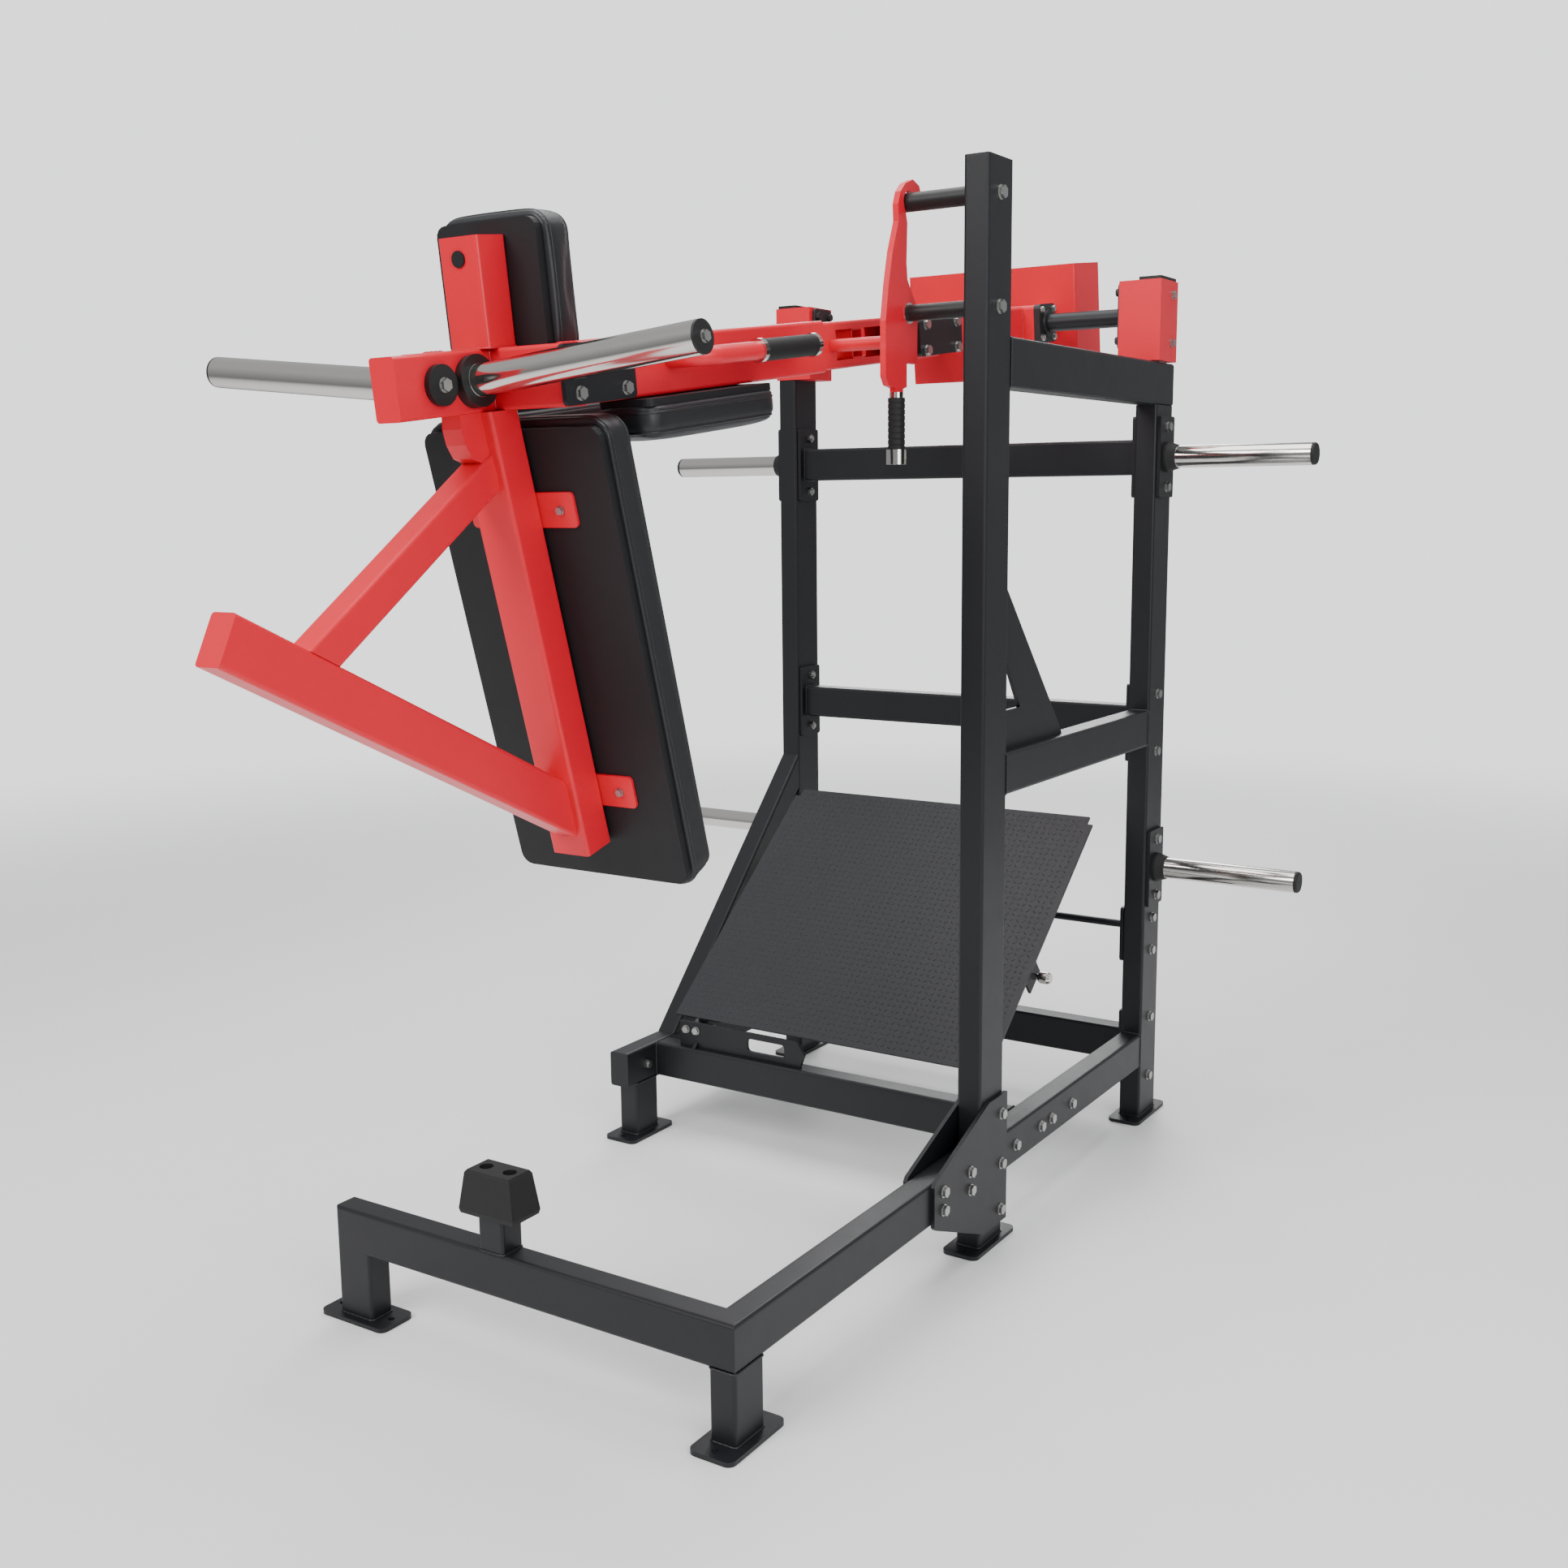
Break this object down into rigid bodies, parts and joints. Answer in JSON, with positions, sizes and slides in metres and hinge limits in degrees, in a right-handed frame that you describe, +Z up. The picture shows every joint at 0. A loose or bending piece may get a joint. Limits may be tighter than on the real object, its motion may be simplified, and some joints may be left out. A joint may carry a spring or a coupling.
{
  "type": "pendulum squat machine",
  "caption": "Plate-loaded pendulum squat machine: a padded swing arm with loading horns hangs from rear uprights over a tilting foot deck.",
  "frame": {"origin": "on the floor, in the middle of the footprint box", "axes": "+X to the right seen from the front, +Y from the front bumper to the pivot uprights, +Z up"},
  "size_m": [1.67, 2.5236, 2.049],
  "materials": {
    "frame_black": "fine textured powder coat",
    "arm_red": "glossy enamel",
    "rubber": "moulded, satin",
    "zinc": "zinc plated",
    "chrome": "polished",
    "black_plastic": "moulded",
    "cast_black": "painted black",
    "ballast": "as cut",
    "board": "stained plywood",
    "vinyl": "grained black vinyl",
    "tread": "raised tread, powder coated"
  },
  "bodies": {
    "stand": {"front_cross_tube": "frame_black", "front_side_tube": "frame_black", "base_legs": "frame_black", "bumper_post": "frame_black", "bumper_block": "rubber", "bumper_screws": "zinc", "tall_upright": "frame_black", "joint_plates": "frame_black", "joint_bolts": "zinc", "right_base_beam": "frame_black", "right_mid_beam": "frame_black", "right_top_beam": "frame_black", "side_gusset": "frame_black", "right_rear_upright": "frame_black", "left_rear_upright": "frame_black", "left_base_beam": "frame_black", "left_brace": "frame_black", "front_low_beam": "frame_black", "rear_cross_beams": "frame_black", "frame_bolts": "zinc", "foot_plates": "frame_black", "storage_flanges": "frame_black", "storage_tubes": "chrome", "storage_collars": "rubber", "bearing_housings": "arm_red", "end_caps": "black_plastic", "pivot_axle": "frame_black", "axle_flanges": "cast_black", "stop_pegs": "black_plastic", "tie_rod": "frame_black", "hinge_bracket": "frame_black"},
    "swing_arm": {"hub_tube": "arm_red", "counterweight_box": "arm_red", "ballast_plates": "ballast", "hub_bearings": "cast_black", "splice_plates": "frame_black", "arm_bolts": "zinc", "yoke_arms": "arm_red", "yoke_links": "arm_red", "nose_beam": "arm_red", "weight_horns": "chrome", "arm_caps": "black_plastic", "back_post": "arm_red", "stop_beam": "arm_red", "pad_brackets": "arm_red", "pad_boards": "board", "back_pad": "vinyl", "head_pad": "vinyl", "shoulder_pads": "vinyl", "handle_tubes": "arm_red", "handle_rings": "chrome", "handle_grips": "rubber"},
    "latch": {"latch_lever": "arm_red", "latch_grip": "rubber", "latch_rings": "chrome"},
    "foot_deck": {"deck_plate": "tread", "deck_frame": "frame_black", "hinge_pins": "zinc"},
    "tilt_links": {"tilt_bars": "frame_black"},
    "tilt_pin": {"pull_pin": "chrome"}
  },
  "joints": [
    {"name": "arm_swing", "type": "hinge", "parent": "stand", "child": "swing_arm", "pos_m": [0, 0.9632, 1.845], "axis": [1, 0, 0], "range_deg": [0, 25]},
    {"name": "latch_turn", "type": "hinge", "parent": "stand", "child": "latch", "pos_m": [0.304, 0.1182, 1.79], "axis": [1, 0, 0], "range_deg": [0, 35]},
    {"name": "deck_tilt", "type": "hinge", "parent": "stand", "child": "foot_deck", "pos_m": [0, 0.3382, 0.243], "axis": [1, 0, 0], "range_deg": [-6, 6]},
    {"name": "link_turn", "type": "hinge", "parent": "stand", "child": "tilt_links", "pos_m": [0, 0.9232, 0.467], "axis": [1, 0, 0], "range_deg": [-4.1, 4.1]},
    {"name": "pin_pull", "type": "slide", "parent": "foot_deck", "child": "tilt_pin", "axis": [1, 0, 0], "range_m": [0, 0.018]}
  ],
  "couplings": [
    {"joint": "link_turn", "follows": "deck_tilt", "ratio": -0.678}
  ]
}
